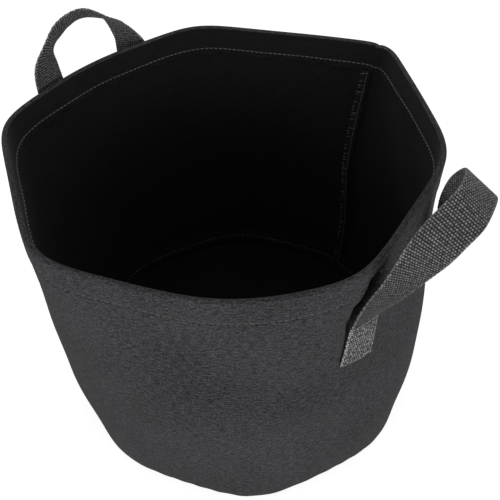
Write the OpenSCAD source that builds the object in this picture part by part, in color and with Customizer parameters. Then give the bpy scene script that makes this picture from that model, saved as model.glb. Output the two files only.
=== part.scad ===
// Fabric grow bag: a round, open-topped planting bag of thick needled felt, standing on a flat
// felt base, with two loops of woven webbing sewn to its sides as carrying handles.
// Frame: +Z up, the origin on the ground under the middle of the base, the handles at +X and -X.
// The bag is soft, so every shell is built on one grid: the same directions around the bag and the
// same heights up the wall. Layers that lie on each other then share their faces exactly.

/* [Bag] */
// Height of the rim above the ground (mm)
bag_height = 250; // [240:1:262]
// Radius of the wall at its fullest height (mm)
belly_radius = 151; // [146:1:156]
// Distance from the middle to each of the eight soft flats around the base (mm)
base_flat = 142.5; // [138:0.5:146]
// Direction of the first of those flats (degrees from +X)
base_turn = -67; // [-90:1:-46]
// Radius of the rounded edge where the wall runs into the base (mm)
edge_round = 28; // [22:1:32]
// How far the slack mouth leans towards the far handle (mm)
mouth_lean = 15.4; // [0:0.2:18]
// How far the side seam pulls its own corner of the mouth outwards (mm)
seam_pull = 2; // [0:0.5:8]

/* [Felt and seams] */
// Thickness of one layer of felt (mm)
felt = 2.2; // [2:0.1:3.5]
// Depth of the hem turned down inside the rim (mm)
hem_depth = 25; // [22:1:30]
// Drop from the rim to the line of stitches through the hem (mm)
stitch_drop = 19.4; // [15:0.2:20]
// Thickness of the sewing thread (mm)
thread = 1; // [0.6:0.1:1.2]

/* [Handles] */
// Width of the webbing (mm)
strap_width = 25.4; // [20:0.2:26]
// Thickness of the webbing (mm)
strap_thickness = 1.6; // [1.2:0.1:2]
// Length of webbing sewn flat to the wall at each foot (mm)
foot_length = 33; // [30:1:40]
// Height of the line on which both handles fold over (mm)
fold_height = 206; // [200:1:208]

/* [Hidden] */

felt_colour = [0.05, 0.05, 0.052];
web_colour = [0.045, 0.045, 0.05];
thread_colour = [0.2, 0.2, 0.2];

// directions around the bag, one facet every 5 degrees
facet = 5;
around = [for (d = [0:facet:360 - facet]) d];

// heights: the wall's plain stations as shares of its height, then those that a seam needs
hem_z = bag_height - hem_depth;
stitch_z = bag_height - stitch_drop;
wall_z = concat([for (share = [0.2, 0.32, 0.42, 0.5, 0.58, 0.66, 0.74, 0.82]) share * bag_height],
                [hem_z, stitch_z, stitch_z + thread, bag_height - 10, bag_height]);
// angles around the rounded edge: the base ends at the first, its seam lies between the others
base_edge = 45;
edge_angles = [base_edge, 58, 62, 75, 90];
seam_angles = [base_edge, 58, 62, 75];
thread_angles = [58, 62];
base_angles = [0, 15, 30, base_edge];

// the mouth is slack cloth: straight runs between soft corners, [direction, distance]
mouth_sides = [[120, 146], [52, 151.5], [10, 142], [-35, 151], [-66, 146.5], [-118, 147],
               [-170, 147], [167, 143.5]];
mouth_sharpness = 16;
base_sharpness = 15;
seam_direction = 84;
seam_spread = 7;
// heights between which the base outline fades out and the mouth outline fades in
base_fade = 0.333 * bag_height;
mouth_start = 0.496 * bag_height;

// the side seam's allowance fills one facet; its thread runs up the middle of that facet
seam_facets = [85, 90];
seam_thread_facets = [87.3, 87.7];

// how far thread stands proud of what it is sewn into, and how far it is sunk in
proud = thread / 2;
sunk = 0.4;

// each handle folds about a line through its two feet
near_x = 137.4;
far_x = -160.3;
web_gap = 0.6;
foot_top = fold_height - strap_thickness / 2 - web_gap;

// feet: [side of the bag, middle in Y, lean of the foot towards the middle of its handle in degrees]
near_left = [1, -35, 8];
near_right = [1, 50, -6];
far_left = [-1, -39, 0];
far_right = [-1, 43.5, 0];

// Routes of the two loops: [out from the fold line, along Y, up, and the direction across the
// webbing as out, along and up]
near_route = [[0, -35, 0, -0.115, 1, 0],
              [1.2, -33.4, 8.4, 0.2, 0.95, -0.24],
              [4.1, -29.5, 20.2, 0.42, 0.82, -0.4],
              [9.1, -26.3, 33.1, 0.53, 0.76, -0.37],
              [13.7, -22.8, 47, 0.7, 0.63, -0.33],
              [21, -13.6, 71.6, 0.98, 0.12, -0.15],
              [25.1, 5.3, 83.4, 0.82, -0.03, -0.57],
              [17.6, 31.1, 79.1, 0.89, 0.07, -0.44],
              [5.4, 44.9, 56, 0.97, -0.1, -0.21],
              [-4.4, 48.5, 26, 0.7, -0.65, -0.4],
              [-9.8, 50, 0, 0.115, -1, 0]];
far_route = [[0, -39, 0, -0.036, 1, 0],
             [0, -39, 32, 0, 1, 0],
             [0.5, -40, 58.5, 0.31, 0.92, -0.22],
             [1, -29, 74.5, 0.54, 0.55, -0.64],
             [1.5, -16.5, 81, 0.51, 0.25, -0.82],
             [1.5, -6, 82.5, 0.65, -0.07, -0.76],
             [1.5, 4, 79, 0.86, -0.22, -0.46],
             [2, 13.5, 74.5, 0.96, -0.27, -0.13],
             [5.5, 25, 67.5, 0.96, -0.27, -0.03],
             [7.5, 33.5, 60.5, 0.97, -0.09, -0.14],
             [4, 41, 47.5, 0.87, -0.36, -0.34],
             [1.5, 44, 36.5, 0.25, -0.95, -0.1],
             [-1.5, 43.5, 16, 0, -1, 0],
             [-3, 43.5, 0, 0.036, -1, 0]];
route_steps = 5;

// a share from 0 to 1 that eases in and out between two heights
function ease(t) = t * t * (3 - 2 * t);
function rise(low, high, z) = ease(min(max((z - low) / (high - low), 0), 1));

// distance to a soft-cornered outline with the given sides, in one direction
function soft_outline(sides, sharpness, direction) =
    let (terms = [for (s = sides) pow(max(cos(direction - s[0]), 0) / s[1], sharpness)])
    pow(terms * [for (t = terms) 1], -1 / sharpness);

base_sides = [for (k = [0:7]) [base_turn + 45 * k, base_flat]];
function base_outline(direction) = soft_outline(base_sides, base_sharpness, direction);
function mouth_outline(direction) =
    soft_outline(mouth_sides, mouth_sharpness, direction)
    + seam_pull * exp(-pow((direction - seam_direction) / seam_spread, 2));

// radius of the wall's outer face, leaving out the rounded edge at its foot
function wall_radius(direction, z) =
    let (low = rise(0, base_fade, z), high = rise(mouth_start, bag_height, z),
         belly = base_outline(direction) * (1 - low) + belly_radius * low)
    belly * (1 - high) + mouth_outline(direction) * high;

// a point at a depth inside the wall's outer face
function wall_point(direction, depth, z) =
    let (r = wall_radius(direction, z) - depth)
    [r * cos(direction) - mouth_lean * rise(0, bag_height, z), r * sin(direction), z];

// stations [depth, height]: around the rounded edge at a layer's depth, and up the wall
function edge_station(angle, depth) =
    [edge_round - (edge_round - depth) * sin(angle), edge_round - (edge_round - depth) * cos(angle)];
function edge_stations(angles, depth) = [for (a = angles) edge_station(a, depth)];
function wall_stations(heights, depth) = [for (z = heights) [depth, z]];

function sheet_points(stations, directions) =
    [for (s = stations, d = directions) wall_point(d, s[0], s[1])];

// two triangles of one facet; the diagonal always rises with the direction, so that two layers
// that share a facet share its diagonal too
function facet_faces(a0, a1, b0, b1, a_is_lower) =
    a_is_lower ? [[a0, b0, b1], [a0, b1, a1]] : [[a0, b0, a1], [a1, b0, b1]];

// A closed layer between two lists of stations, all the way around or over a few directions.
module layer(outer, inner, directions, closed = true) {
    n = len(directions);
    m = len(outer);
    last = closed ? n - 1 : n - 2;
    ring = concat(outer, [for (i = [m - 1:-1:0]) inner[i]]);
    points = sheet_points(ring, directions);
    bands = [for (a = [0:2 * m - 1], j = [0:last])
        let (b = (a + 1) % (2 * m), k = (j + 1) % n)
        each facet_faces(a * n + j, a * n + k, b * n + j, b * n + k, ring[a][1] <= ring[b][1])];
    ends = closed ? [] : [for (i = [0:m - 2])
        let (o = i * n, p = (i + 1) * n, q = (2 * m - 1 - i) * n, r = (2 * m - 2 - i) * n, e = n - 1)
        each [[o, q, p], [q, r, p], [o + e, p + e, q + e], [q + e, p + e, r + e]]];
    polyhedron(points, concat(bands, ends));
}

// A dish: closed in the middle, its edge cut square to the layer at the last station.
module dish(outer, inner, directions) {
    n = len(directions);
    m = len(outer);
    ring = concat(outer, [for (i = [m - 1:-1:0]) inner[i]]);
    under = 2 * m * n;
    points = concat(sheet_points(ring, directions), [[0, 0, outer[0][1]], [0, 0, inner[0][1]]]);
    bands = [for (a = [0:2 * m - 2], j = [0:n - 1])
        let (b = a + 1, k = (j + 1) % n)
        each facet_faces(a * n + j, a * n + k, b * n + j, b * n + k, ring[a][1] <= ring[b][1])];
    fans = [for (j = [0:n - 1])
        let (k = (j + 1) % n, top = (2 * m - 1) * n)
        each [[under, j, k], [under + 1, top + k, top + j]]];
    polyhedron(points, concat(bands, fans));
}

// The side wall: one piece of felt rolled into a tube, from the base seam up to the fold of the rim.
module side_wall() {
    color(felt_colour)
        layer(concat(edge_stations(edge_angles, 0), wall_stations(wall_z, 0)),
              concat(edge_stations(edge_angles, felt), wall_stations(wall_z, felt)), around);
}

// The hem: the top of the wall turned down inside, a second layer against the first.
module rim_hem() {
    heights = [hem_z, stitch_z, stitch_z + thread, bag_height - 10, bag_height];
    color(felt_colour)
        layer(wall_stations(heights, felt), wall_stations(heights, 2 * felt), around);
}

// The base: a round of felt that turns up at its edge to meet the wall.
module base_panel() {
    color(felt_colour)
        dish(edge_stations(base_angles, 0), edge_stations(base_angles, felt), around);
}

// The base seam's allowance, lying up the inside of the wall.
module base_seam() {
    color(felt_colour)
        layer(edge_stations(seam_angles, felt), edge_stations(seam_angles, 2 * felt), around);
}

// The side seam's allowance: a strip down the inside of the wall, from the hem to the base seam.
module side_seam() {
    first = edge_angles[3];
    second = edge_angles[4];
    heights = [for (z = wall_z) if (z <= hem_z) z];
    color(felt_colour)
        layer(concat(edge_stations([first, second], felt), wall_stations(heights, felt)),
              concat(edge_stations([first, second], 2 * felt), wall_stations(heights, 2 * felt)),
              seam_facets, closed = false);
}

// The row of stitches through the wall and the hem, standing a little proud outside.
module hem_stitching() {
    heights = [stitch_z, stitch_z + thread];
    color(thread_colour)
        layer(wall_stations(heights, -proud), wall_stations(heights, 0), around);
}

// The stitches that hold the side seam's allowance flat.
module side_seam_thread() {
    heights = [for (z = wall_z) if (z > edge_round && z < hem_z) z];
    color(thread_colour)
        layer(wall_stations(heights, 2 * felt - sunk), wall_stations(heights, 2 * felt + proud),
              seam_thread_facets, closed = false);
}

// The stitches around the base seam.
module base_seam_thread() {
    color(thread_colour)
        layer(edge_stations(thread_angles, 2 * felt), edge_stations(thread_angles, 2 * felt + proud),
              around);
}

// ---- webbing ----

// the direction in which the wall has a given Y at a given height, on the +X or the -X side
function direction_at(side, y, z, guess = 0, tries = 5) =
    tries == 0 ? guess :
    let (s = asin(y / wall_radius(guess, z)))
    direction_at(side, y, z, side > 0 ? s : 180 - s, tries - 1);

// a point on the wall at a depth, for a place on a foot: across it, and down from its top
function foot_point(foot, across, down, depth) =
    let (lean = foot[2],
         top = foot_top - strap_width / 2 * abs(sin(lean)),
         y = foot[1] + across * cos(lean) - down * sin(lean),
         z = top - across * sin(lean) - down * cos(lean))
    wall_point(direction_at(foot[0], y, z, foot[0] > 0 ? 0 : 180), depth, z);

// A foot: the end of the webbing, sewn flat to the wall and bedded a little into the felt.
module foot_patch(foot) {
    columns = [for (u = [-2:2]) u / 4 * strap_width];
    rows = [for (v = [0:4]) v / 4 * foot_length];
    n = len(columns);
    skin = n * len(rows);
    outside = [for (v = rows, u = columns) foot_point(foot, foot[0] * u, v, -strap_thickness)];
    inside = [for (v = rows, u = columns) foot_point(foot, foot[0] * u, v, sunk)];
    sheet = [for (i = [0:n - 2], j = [0:n - 2])
        let (a = i * n + j, b = a + 1, c = a + n, d = c + 1)
        each [[a, b, d], [a, d, c], [skin + a, skin + d, skin + b], [skin + a, skin + c, skin + d]]];
    edge = concat([for (j = [0:n - 1]) j], [for (i = [1:n - 1]) i * n + n - 1],
                  [for (j = [n - 2:-1:0]) (n - 1) * n + j], [for (i = [n - 2:-1:1]) i * n]);
    rim = [for (i = [0:len(edge) - 1])
        let (a = edge[i], b = edge[(i + 1) % len(edge)])
        each [[a, skin + a, skin + b], [a, skin + b, b]]];
    polyhedron(concat(outside, inside), concat(sheet, rim));
}

// a round bar of thread along the line between two points, stopping short of each of them
module thread_bar(from, to, short_from, short_to) {
    length = norm(to - from);
    along = (to - from) / length;
    translate(from + along * short_from)
        rotate([0, acos(along[2]), atan2(along[1], along[0])])
            cylinder(h = length - short_from - short_to, d = thread, $fn = 24);
}

// The stitches of a foot: a box with a cross in it, 3 mm in from the edges of the webbing.
module foot_stitches(foot) {
    margin = 3;
    half = strap_width / 2 - margin;
    low = foot_length - margin;
    depth = -strap_thickness - 0.1;
    corners = [for (c = [[-half, margin], [half, margin], [half, low], [-half, low]])
        foot_point(foot, foot[0] * c[0], c[1], depth)];
    middle = (corners[0] + corners[1] + corners[2] + corners[3]) / 4;
    at_corner = 1.5 * thread;
    at_cross = 3 * thread;
    for (i = [0:3])
        thread_bar(corners[i], corners[(i + 1) % 4], at_corner, at_corner);
    thread_bar(corners[0], corners[2], at_cross, at_cross);
    for (i = [1, 3])
        thread_bar(corners[i], middle, at_cross, at_corner);
}

// a smooth curve through the rows of a route
function row_at(rows, i) =
    let (last = len(rows) - 1)
    i < 0 ? 2 * rows[0] - rows[1] : i > last ? 2 * rows[last] - rows[last - 1] : rows[i];
function between(a, b, c, d, t) =
    0.5 * (2 * b + (c - a) * t + (2 * a - 5 * b + 4 * c - d) * t * t
           + (3 * b - a - 3 * c + d) * t * t * t);
function smooth_route(rows, steps) =
    concat([for (i = [0:len(rows) - 2], k = [0:steps - 1])
        between(row_at(rows, i - 1), rows[i], rows[i + 1], row_at(rows, i + 2), k / steps)],
        [rows[len(rows) - 1]]);

function place(v) = [v[0], v[1], v[2]];
function width_direction(v) = [v[3], v[4], v[5]];
function unit(v) = v / norm(v);

// the four corners of the webbing's section
function web_section(centre, tangent, across) =
    let (w = unit(across - (across * tangent) * tangent) * strap_width / 2,
         n = cross(tangent, unit(w)) * strap_thickness / 2)
    [centre + w + n, centre - w + n, centre - w - n, centre + w - n];

// A loop of webbing along a route, standing on its fold line at fold_x.
module web_loop(route, fold_x, side) {
    rows = smooth_route(route, route_steps);
    last = len(rows) - 1;
    points = [for (i = [0:last])
        let (ahead = place(rows[min(i + 1, last)]), behind = place(rows[max(i - 1, 0)]))
        each [for (p = web_section(place(rows[i]), unit(ahead - behind), width_direction(rows[i])))
            [fold_x + side * p[0], p[1], fold_height + p[2]]]];
    faces = [for (i = [0:last - 1], j = [0:3])
        let (a = 4 * i + j, b = 4 * i + (j + 1) % 4, c = a + 4, d = b + 4)
        each side > 0 ? [[a, c, d], [a, d, b]] : [[a, d, c], [a, b, d]]];
    ends = [[0, 1, 2, 3], [for (k = [3:-1:0]) 4 * last + k]];
    polyhedron(points, concat(faces, side > 0 ? ends : [for (f = ends) [for (k = [3:-1:0]) f[k]]]));
}

// The near handle: it leans away from the bag and twists so that its top lies flat in the hand.
module near_handle() {
    color(web_colour)
        web_loop(near_route, near_x, 1);
}

// The far handle: it stands up from its feet and turns over flat at its right shoulder.
module far_handle() {
    color(web_colour)
        web_loop(far_route, far_x, -1);
}

module near_left_foot() {
    color(web_colour)
        foot_patch(near_left);
}

module near_right_foot() {
    color(web_colour)
        foot_patch(near_right);
}

module far_left_foot() {
    color(web_colour)
        foot_patch(far_left);
}

module far_right_foot() {
    color(web_colour)
        foot_patch(far_right);
}

module near_left_foot_stitching() {
    color(thread_colour)
        foot_stitches(near_left);
}

module near_right_foot_stitching() {
    color(thread_colour)
        foot_stitches(near_right);
}

module far_left_foot_stitching() {
    color(thread_colour)
        foot_stitches(far_left);
}

module far_right_foot_stitching() {
    color(thread_colour)
        foot_stitches(far_right);
}

side_wall();
rim_hem();
base_panel();
side_seam();
base_seam();
hem_stitching();
side_seam_thread();
base_seam_thread();
near_handle();
far_handle();
near_left_foot();
near_right_foot();
far_left_foot();
far_right_foot();
near_left_foot_stitching();
near_right_foot_stitching();
far_left_foot_stitching();
far_right_foot_stitching();
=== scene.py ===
# %% [markdown]
# # A fabric grow bag
# A grow bag is a soft plant pot: one band of needled felt rolled into a tube, a round of the same
# felt sewn in as its base, a hem turned down inside the rim, and two loops of woven webbing sewn to
# the sides to carry it by. The solids made in CAD say where every piece is. This notebook dresses
# them: it builds the cloth itself, stitch by stitch, around those solids.

# %% Load the solids that everything is built around
import math
import bmesh
import bpy
import numpy as np
from mathutils import Matrix, Vector


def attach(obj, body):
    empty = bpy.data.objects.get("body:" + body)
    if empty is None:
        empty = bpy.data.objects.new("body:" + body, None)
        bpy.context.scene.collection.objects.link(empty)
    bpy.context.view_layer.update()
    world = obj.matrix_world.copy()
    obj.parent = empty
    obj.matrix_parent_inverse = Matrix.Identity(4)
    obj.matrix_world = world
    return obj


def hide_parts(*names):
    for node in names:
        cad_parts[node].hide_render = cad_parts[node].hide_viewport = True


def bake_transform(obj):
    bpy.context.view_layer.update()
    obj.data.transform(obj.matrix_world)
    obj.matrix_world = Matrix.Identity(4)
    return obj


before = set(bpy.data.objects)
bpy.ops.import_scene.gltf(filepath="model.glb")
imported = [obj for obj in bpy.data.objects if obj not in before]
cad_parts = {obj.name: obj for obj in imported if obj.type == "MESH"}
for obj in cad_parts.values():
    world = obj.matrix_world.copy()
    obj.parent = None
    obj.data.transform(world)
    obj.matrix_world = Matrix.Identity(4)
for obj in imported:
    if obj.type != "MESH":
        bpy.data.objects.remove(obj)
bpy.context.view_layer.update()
MM = 0.001
rng = np.random.default_rng(7)

# %% [markdown]
# ## The camera
# The bag is seen from above at about 47 degrees, a little to the left of the nearer handle. A
# camera looks along its own -Z axis with +Y up, so its matrix is written straight from three
# directions: right, up and backwards. A 50 mm lens on a 36 mm sensor gives a natural perspective.

# %% Place the camera
CAMERA_AT = Vector((0.2528, -0.2773, 0.5471))
LOOKING = Vector((-0.4518, 0.5106, -0.7315)).normalized()
RIGHTWARD = Vector((0.749, 0.6626, 0.0)).normalized()
UPWARD = RIGHTWARD.cross(LOOKING)

camera_data = bpy.data.cameras.new("camera")
camera_data.lens = 50
camera_data.sensor_width = 36
camera_data.sensor_fit = "HORIZONTAL"
camera = bpy.data.objects.new("camera", camera_data)
facing = Matrix((RIGHTWARD, UPWARD, -LOOKING)).transposed()
camera.matrix_world = Matrix.Translation(CAMERA_AT) @ facing.to_4x4()
bpy.context.scene.collection.objects.link(camera)
bpy.context.scene.camera = camera
print("camera at", tuple(CAMERA_AT))

# %% [markdown]
# ## The shape of the bag
# The bag has no straight line in it. Its base is round with eight soft flats, where the felt has
# been handled; its middle is a plain circle; its mouth is slack, with straight runs between soft
# corners, and the side seam pulls one corner out. A soft corner comes from a power mean of the
# distances to the straight sides: the higher the power, the sharper the corner. The wall eases
# from the base outline to the circle to the mouth outline as it rises. Everything is in
# millimetres here, and is turned into metres when a mesh is made.

# %% The outline of the bag at every height
HEIGHT = 250.0
BELLY = 151.0
BELLY_FROM, BELLY_TO = 83.25, 124.0
EDGE_ROUND = 28.0
LEAN = 15.4
FELT = 2.2
SEAM_CORNER = 84.0
MOUTH_POWER, BASE_POWER = 16, 15
MOUTH_SIDES = ((120, 146), (52, 151.5), (10, 142), (-35, 151), (-66, 146.5), (-118, 147),
               (-170, 147), (167, 143.5))
BASE_SIDES = tuple((-67 + 45 * k, 142.5) for k in range(8))


def rise(low, high, z):
    """0 below low, 1 above high, and an easy slope between them."""
    t = np.clip((z - low) / (high - low), 0, 1)
    return t * t * (3 - 2 * t)


def bell(off, spread):
    """1 in the middle, fading to nothing on both sides."""
    return np.exp(-(off / spread) ** 2)


def turned(angle):
    """An angle in degrees, brought between -180 and 180."""
    return (angle + 180) % 360 - 180


def soft_outline(sides, power, direction):
    """Distance to an outline of straight sides with soft corners, for directions in degrees."""
    total = 0
    for towards, distance in sides:
        total = total + (np.maximum(np.cos(np.radians(direction - towards)), 0) / distance) ** power
    return total ** (-1 / power)


def wall_radius(direction, z):
    """Radius of the wall's outer face, before its lower edge is rounded."""
    pull = 2 * bell(turned(direction - SEAM_CORNER), 7)
    mouth = soft_outline(MOUTH_SIDES, MOUTH_POWER, direction) + pull
    low, high = rise(0, BELLY_FROM, z), rise(BELLY_TO, HEIGHT, z)
    belly = soft_outline(BASE_SIDES, BASE_POWER, direction) * (1 - low) + BELLY * low
    return belly * (1 - high) + mouth * high


def shell_point(direction, inset, z):
    """A point of the bag's outer face, given by its direction, inset and height (any shapes)."""
    r = wall_radius(direction, z) - inset
    a = np.radians(direction)
    x = r * np.cos(a) - LEAN * rise(0, HEIGHT, z)
    return np.stack(np.broadcast_arrays(x, r * np.sin(a), z), -1)


print("mouth", [round(float(wall_radius(a, HEIGHT))) for a in (4.0, 85.0)], "mm from the middle")

# %% [markdown]
# ## A fine grid of felt
# The CAD wall has a facet every five degrees. Cloth needs a far finer grid, because small folds
# make it look like cloth. The outer face is sampled every 0.75 degrees around (0.2 beside the
# nearest foot, where it folds sharply) and every 1 to 2 mm up. The grid starts and ends at the
# side seam, so that distances along the cloth are counted from a cut edge, as in sewing.

# %% Stations around the bag and up its wall
SEAM_AT = 86.0
FINE_FROM, FINE_TO = 253.0, 277.0
directions = SEAM_AT + np.concatenate([
    np.linspace(0, FINE_FROM, 338)[:-1], np.linspace(FINE_FROM, FINE_TO, 121)[:-1],
    np.linspace(FINE_TO, 360, 112)])
edge_angle = np.radians(np.linspace(45, 90, 11))
above_edge = np.append(np.linspace(EDGE_ROUND + 2, 188, 80), np.linspace(189.2, HEIGHT, 50))
inset_of = np.append(EDGE_ROUND * (1 - np.sin(edge_angle)), np.zeros(len(above_edge)))
height_of = np.append(EDGE_ROUND * (1 - np.cos(edge_angle)), above_edge)
grid_at = directions[None, :], height_of[:, None]
ring_at = directions[None, :-1]
smooth_face = shell_point(grid_at[0], inset_of[:, None], grid_at[1])


def unit(vectors):
    """The same directions, with length 1."""
    return vectors / np.linalg.norm(vectors, axis=-1, keepdims=True)


def run_of(line):
    """How far along a line each of its points lies."""
    return np.append(0, np.cumsum(np.linalg.norm(np.diff(line, axis=0), axis=1)))


def grid_normals(face):
    """Unit normals of a grid of points, rows going up and columns going around."""
    up = np.gradient(face, axis=0)
    around = np.gradient(face, axis=1)
    around[:, 0] = around[:, -1] = (face[:, 1] - face[:, -2]) / 2
    return unit(np.cross(around, up))


print("grid", smooth_face.shape[:2], "rim girth", round(run_of(smooth_face[-1])[-1]), "mm")

# %% [markdown]
# ## How the felt gives way
# Felt is stiff, so it doesn't drape; it buckles in a few places. The webbing pulls the wall out at
# each foot, and beside the nearest foot the wall folds into a sharp valley that runs from just
# under the hem down along the webbing's edge. The base seam gathers the wall into small puckers,
# the row of stitches under the rim draws a groove, and the whole wall is a little uneven. All are
# functions of direction and height. The valley's line is a table: direction, height, size and
# shade. The shade column is painted shade, a darkening of the felt's colour in the fold; it also
# sets how wide the fold's slot is.

# %% Push the felt in and out
CREASE = np.array([
    [-5.9, 249, 0, 0.1], [-5.9, 245, 0.05, 0.8], [-6.2, 238, 0.2, 1.2], [-6.6, 234, 0.34, 1.35],
    [-6.9, 228, 0.62, 1.45], [-7.0, 222, 1, 1.5], [-8.6, 218, 1, 1.4], [-11.2, 215.5, 1, 1.2],
    [-14, 212.5, 0.85, 0.9], [-16.6, 207, 0.6, 0.4], [-17.9, 198, 0.35, 0.12],
    [-18.5, 189, 0.25, 0.08], [-19.3, 178, 0.15, 0.06], [-19.8, 167, 0, 0]])
MM_PER_DEGREE = np.pi / 180 * BELLY
FOLD_AT, FOLD_REACH, FOLD_LOW = -10, 18, 140
ROLL_IN = 3.8
SLOT = 8.0
WAVES = 14
STITCH_DROP = 18.9
HEM_DEPTH = 24.0
BASE_GROOVE = 7.6


def fold_shape(direction, z):
    """The fold by the nearest foot: its size, its painted shade, how the felt rolls and drops in.
    """
    direction, z = np.broadcast_arrays(direction, z)
    near = (np.abs(turned(direction - FOLD_AT)) < FOLD_REACH) & (z > FOLD_LOW)
    strength, dark, roll, slot = np.zeros((4, *direction.shape))
    x, y = turned(direction[near]) * MM_PER_DEGREE, z[near]
    best, (side, size, shade) = np.full(x.shape, 1e9), np.zeros((3, *x.shape))
    for start, stop in zip(CREASE[:-1], CREASE[1:]):
        a = start[:2] * (MM_PER_DEGREE, 1)
        step = stop[:2] * (MM_PER_DEGREE, 1) - a
        t = np.clip(((x - a[0]) * step[0] + (y - a[1]) * step[1]) / (step @ step), 0, 1)
        gap = np.hypot(x - a[0] - t * step[0], y - a[1] - t * step[1])
        nearer = gap < best
        best = np.where(nearer, gap, best)
        side = np.where(nearer, np.sign((x - a[0]) * step[1] - (y - a[1]) * step[0]), side)
        size = np.where(nearer, start[2] + (stop[2] - start[2]) * t, size)
        shade = np.where(nearer, start[3] + (stop[3] - start[3]) * t, shade)
    off = -best * side
    half = 0.7 + 5.8 * shade
    soft = 1.2 * half
    strength[near] = size
    roll[near] = np.where(off < 0, np.clip(1 + off / (17 + 6 * shade), 0, 1) ** 1.8,
                          np.clip(1 - off / 6, 0, 1) ** 1.3)
    slot[near] = np.exp(-np.abs(off / half + 1) ** 6)
    core = np.minimum(rise(-2 * half - 0.3 * soft, -2 * half + 0.7 * soft, off),
                      1 - rise(-0.3, 1.5, off))
    # Painted shade: how much the felt's colour is darkened in the fold, less towards the hem.
    dark[near] = core * np.minimum(shade, 1) ** 0.6 * (1 - 0.45 * rise(230, 247, y))
    return strength, dark, roll, slot


def valley_depth(direction, z):
    """How deep the fold is, in millimetres."""
    strength, _, roll, slot = fold_shape(direction, z)
    return strength * (ROLL_IN * roll + SLOT * slot)


def unevenness(direction, z):
    """Low, slow waves with no seam in them, from a few seeded sines."""
    waves = np.random.default_rng(11)
    total = 0
    for k in range(WAVES):
        turns = waves.integers(3, 17)
        tall = waves.uniform(60, 240)
        phase, slope = waves.uniform(0, 2 * np.pi, 2)
        wave = np.cos(np.radians(direction) * turns + phase) * np.cos(2 * np.pi * z / tall + slope)
        total = total + 0.9 / (1 + turns / 6) * wave
    return total * 0.55


def give(direction, z):
    """How far the outer face stands out (+) or in (-) from the smooth shape, in millimetres."""
    pucker = np.cos(np.radians(direction) * 47 + 2.5 * np.cos(np.radians(direction) * 7))
    hem_cut = HEIGHT - HEM_DEPTH
    below_hem = (1 - rise(hem_cut - 5, hem_cut + 1, z)) * rise(HEIGHT - 70, HEIGHT - 30, z)
    off_seam = turned(direction - SEAM_AT) * MM_PER_DEGREE
    return (unevenness(direction, z) * rise(8, 60, z)
            - valley_depth(direction, z)
            + 0.7 * pucker * bell(z, 16)
            - 2.0 * bell(z - BASE_GROOVE, 2.2)
            - 0.9 * bell(z - (HEIGHT - STITCH_DROP), 1.6)
            - 0.5 * below_hem
            - 1.4 * bell(off_seam, 1.8) - 0.6 * bell(off_seam, 7))


smooth_normal = grid_normals(smooth_face)


def felt_grid(moved):
    """The points and normals of the wall's grid when the felt has moved by this much."""
    face = smooth_face + smooth_normal * moved[..., None]
    return face, grid_normals(face)


outer_felt = felt_grid(give(*grid_at))
print("felt moves", round(float(give(*grid_at).min()), 1), "mm at the deepest fold")

# %% [markdown]
# ## Finding a place on the cloth
# Stitches and feet lie on the felt, wherever its folds have gone. A small helper reads the grid
# between its points and gives the place and the normal for any direction and height.

# %% A ruler for the cloth
def on_wall(direction, z, lift=0.0, felt=outer_felt):
    """Points on the outer face (lifted off it by some millimetres) and the normals there."""
    direction, z = np.broadcast_arrays(direction, z)
    tall, wide = len(height_of), len(directions)
    column = np.interp((direction - SEAM_AT) % 360, directions - SEAM_AT, np.arange(wide))
    row = np.interp(z, height_of, np.arange(tall))
    c0, r0 = np.clip(column.astype(int), 0, wide - 2), np.clip(row.astype(int), 0, tall - 2)
    fc, fr = (column - c0)[..., None], (row - r0)[..., None]

    def read(grid):
        low = grid[r0, c0] * (1 - fc) + grid[r0, c0 + 1] * fc
        high = grid[r0 + 1, c0] * (1 - fc) + grid[r0 + 1, c0 + 1] * fc
        return low * (1 - fr) + high * fr
    normal = unit(read(felt[1]))
    return read(felt[0]) + normal * np.asarray(lift)[..., None], normal


def direction_at(side, y, z):
    """The direction in which the wall has a given Y, on the +X side (1) or the -X side (-1)."""
    guess = np.full(np.broadcast(y, z).shape, 0.0 if side > 0 else 180.0)
    for _ in range(8):
        s = np.degrees(np.arcsin(y / wall_radius(guess, z)))
        guess = s if side > 0 else 180 - s
    return guess


nearest_foot, _ = on_wall(direction_at(1, -35.0, 180.0), 180.0)
print("the wall at the nearest foot is at x =", round(float(nearest_foot[0])), "mm")

# %% [markdown]
# ## Turning numbers into meshes
# Every cloth piece here is a grid of points, so one helper makes them all. It joins the grid's
# ends where asked, and writes a UV map called "cloth" whose units are metres measured along the
# cloth itself. The materials read that map, so a weave or a fibre keeps its true size and follows
# the cloth around every bend. Bmesh is Blender's tool for editing single points and faces; here it
# turns the faces of a closed piece outwards.

# %% Helpers that make meshes
def link(mesh, name):
    """Puts a mesh in the scene as an object."""
    piece = bpy.data.objects.new(name, mesh)
    bpy.context.scene.collection.objects.link(piece)
    return piece


def mesh_of(name, points, faces, cloth, *materials):
    """A smooth object from points (mm), faces and a cloth coordinate (mm) for each corner."""
    mesh = bpy.data.meshes.new(name)
    mesh.from_pydata((points.reshape(-1, 3) * MM).tolist(), [], faces)
    layer = mesh.uv_layers.new(name="cloth")
    layer.data.foreach_set("uv", (cloth * MM).astype(np.float32).ravel())
    mesh.polygons.foreach_set("use_smooth", [True] * len(mesh.polygons))
    for material in materials:
        mesh.materials.append(material)
    return link(mesh, name)


def mark_points(piece, title, values):
    """Stores one number for each point of a mesh, for its material to read."""
    attribute = piece.data.attributes.new(title, "FLOAT", "POINT")
    attribute.data.foreach_set("value", values.ravel().astype(np.float32))


def face_outwards(piece):
    """Turns every face of a closed mesh outwards."""
    edit = bmesh.new()
    edit.from_mesh(piece.data)
    bmesh.ops.recalc_face_normals(edit, faces=edit.faces)
    edit.to_mesh(piece.data)
    edit.free()


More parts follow.
